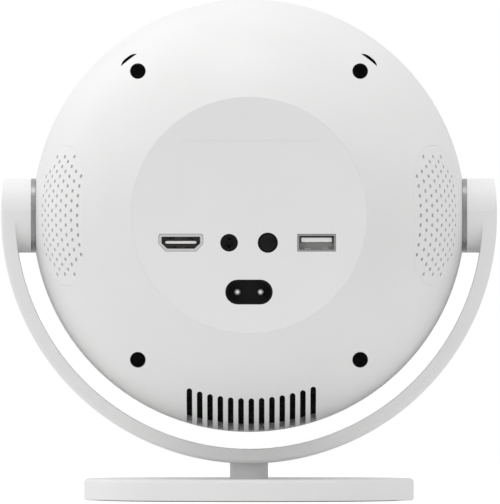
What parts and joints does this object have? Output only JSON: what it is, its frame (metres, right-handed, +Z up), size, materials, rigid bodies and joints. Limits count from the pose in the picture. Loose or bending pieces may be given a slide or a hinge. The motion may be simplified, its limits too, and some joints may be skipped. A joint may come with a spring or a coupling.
{
  "type": "video projector",
  "caption": "Ball-shaped tabletop video projector that tilts in a U-shaped yoke on a round weighted base, with rear connector panel, speaker grilles, air slots and focusing lens.",
  "frame": {"origin": "centre of the underside of the base, where it stands on the table", "axes": "+Z up, -Y the way the lens looks, +Y the rear connector panel, X along the tilt axis"},
  "size_m": [0.1832, 0.1344, 0.1853],
  "materials": {
    "white_plastic": "satin white, fine moulded texture",
    "panel_plastic": "satin white, very fine texture",
    "button_plastic": "semi-gloss white",
    "black_plastic": "matt black",
    "gloss_black": "high gloss black",
    "dark_metal": "satin graphite",
    "steel": "zinc plated",
    "black_steel": "black oxide",
    "weight_steel": "as sawn, oiled",
    "port_metal": "nickel plated",
    "aluminium": "extruded, clear",
    "brass": "turned",
    "board_green": "solder mask",
    "tongue_plastic": "light grey insulator",
    "lens_glass": "coated",
    "pane_glass": "clear",
    "rubber": "matt",
    "filter_foam": "open cell",
    "cone_paper": "pressed pulp",
    "led_chip": "phosphor"
  },
  "bodies": {
    "stand": {"base_plate": "white_plastic", "base_weight": "weight_steel", "bottom_cover": "black_plastic", "foot_pad": "rubber", "stem": "white_plastic", "stem_bolt": "steel", "yoke": "white_plastic", "hub_caps": "white_plastic", "pivot_shafts": "steel", "pivot_rings": "dark_metal", "friction_washers": "black_plastic", "spring_washers": "steel", "lock_nuts": "steel"},
    "head": {"rear_shell": "white_plastic", "front_shell": "white_plastic", "rear_io_panel": "panel_plastic", "speaker_grille_left": "white_plastic", "speaker_grille_right": "white_plastic", "speaker_left": "black_plastic", "speaker_right": "black_plastic", "speaker_cones": "cone_paper", "dust_filter": "filter_foam", "shell_screws": "black_steel", "front_bezel": "dark_metal", "front_fascia": "gloss_black", "lens_mount": "black_plastic", "engine_housing": "black_plastic", "engine_cover": "black_plastic", "engine_screws": "steel", "fresnel_lenses": "pane_glass", "lcd_panel": "gloss_black", "heat_glass": "pane_glass", "light_tunnel": "aluminium", "condenser_lens": "lens_glass", "led_board": "aluminium", "led_emitter": "led_chip", "heatsink": "aluminium", "fan_frame": "black_plastic", "fan_screws": "black_steel", "mainboard": "board_green", "mainboard_screws": "steel", "hdmi_port": "port_metal", "usb_port": "port_metal", "port_tongues": "tongue_plastic", "audio_jack": "black_plastic", "ir_receiver": "gloss_black", "ac_inlet": "black_plastic", "ac_pins": "port_metal", "psu_board": "board_green", "button_board": "board_green", "pivot_brackets": "steel", "bracket_screws": "steel", "pivot_bushes": "brass"},
    "lens": {"lens_barrel": "black_plastic", "lens_elements": "lens_glass", "lens_retainer": "dark_metal", "focus_pin": "steel"},
    "focus": {"focus_ring": "black_plastic"},
    "fan": {"fan_rotor": "black_plastic"},
    "button": {"power_button": "button_plastic"}
  },
  "joints": [
    {"name": "head_tilt", "type": "hinge", "parent": "stand", "child": "head", "pos_m": [0, 0, 0.1053], "axis": [-1, 0, 0], "range_deg": [-45, 135]},
    {"name": "focus_turn", "type": "hinge", "parent": "head", "child": "focus", "pos_m": [0, -0.06, 0.1053], "axis": [0, 1, 0], "range_deg": [-40, 40]},
    {"name": "focus_slide", "type": "slide", "parent": "head", "child": "lens", "axis": [0, -1, 0], "range_m": [-0.0025, 0.0025]},
    {"name": "fan_spin", "type": "hinge", "parent": "head", "child": "fan", "pos_m": [0, 0.015, 0.0563], "axis": [0, 0, 1], "continuous": true},
    {"name": "power_press", "type": "slide", "parent": "head", "child": "button", "axis": [0, 0.5736, -0.8192], "range_m": [0, 0.0006], "stiffness_N_per_m": 2500}
  ],
  "couplings": [
    {"joint": "focus_slide", "follows": "focus_turn", "m_per_rad": 0.00358}
  ]
}
